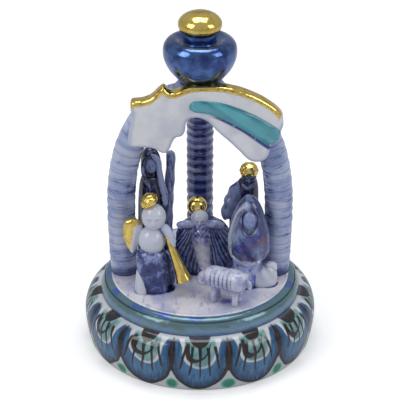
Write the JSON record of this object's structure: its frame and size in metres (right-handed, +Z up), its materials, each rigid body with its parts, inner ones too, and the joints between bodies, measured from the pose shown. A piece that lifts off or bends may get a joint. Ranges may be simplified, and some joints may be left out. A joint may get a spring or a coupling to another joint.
{
  "type": "porcelain bell",
  "caption": "Small hand-painted porcelain bell: hollow skirt with a clapper inside, a nativity scene under a three-column arch, and a knob with a gilt ball to hold it by.",
  "frame": {"origin": "centre of the foot rim, on the surface that the bell stands on", "axes": "+Z up to the ball, -Y towards the open front of the scene, +X to its right"},
  "size_m": [0.072, 0.072, 0.1067],
  "materials": {
    "painted_skirt": "white glaze painted with blue and teal scallops",
    "lustre_moulding": "iridescent blue-green lustre",
    "blue_white": "white glaze washed and brushed with cobalt",
    "cobalt": "deep cobalt glaze",
    "white_glaze": "glossy white glaze",
    "teal": "glossy teal glaze",
    "gilt": "polished gold lustre over glaze",
    "blue_lustre": "metallic blue lustre",
    "bisque": "plain fired porcelain",
    "wire": "plain wire"
  },
  "bodies": {
    "bell": {"bell_skirt": "painted_skirt", "lustre_ring": "lustre_moulding", "deck": "blue_white", "left_column": "blue_white", "right_column": "blue_white", "back_column": "cobalt", "crown": "blue_white", "star_panel": "white_glaze", "tail_ridge": "teal", "knob": "blue_lustre", "ball_finial": "gilt", "angel_robe": "cobalt", "angel_foot": "white_glaze", "angel_body": "white_glaze", "angel_head": "white_glaze", "angel_hair": "gilt", "angel_arm": "blue_white", "angel_wing": "gilt", "trumpet": "gilt", "joseph_cloak": "cobalt", "joseph_face": "white_glaze", "joseph_staff": "blue_white", "manger": "cobalt", "child_body": "white_glaze", "child_arms": "white_glaze", "child_head": "white_glaze", "child_halo": "gilt", "shepherd_robe": "cobalt", "shepherd_arm": "cobalt", "shepherd_head": "blue_white", "shepherd_hair": "gilt", "mary_robe": "blue_white", "mary_veil": "blue_lustre", "mary_face": "blue_white", "lamb_body": "white_glaze", "lamb_head": "white_glaze", "lamb_legs": "white_glaze", "lamb_tail": "white_glaze", "bundle": "white_glaze", "bundle_knot": "blue_white", "clapper_lug": "bisque"},
    "ring": {"clapper_ring": "wire"},
    "clapper": {"clapper_rod": "wire", "clapper_bead": "bisque", "clapper_end": "wire"}
  },
  "joints": [
    {"name": "ring_rock", "type": "hinge", "parent": "bell", "child": "ring", "pos_m": [0, 0, 0.017], "axis": [1, 0, 0], "range_deg": [-20, 20]},
    {"name": "clapper_swing", "type": "hinge", "parent": "ring", "child": "clapper", "pos_m": [0, 0, 0.0144], "axis": [0, -1, 0], "range_deg": [-143.5, 3.5]}
  ]
}
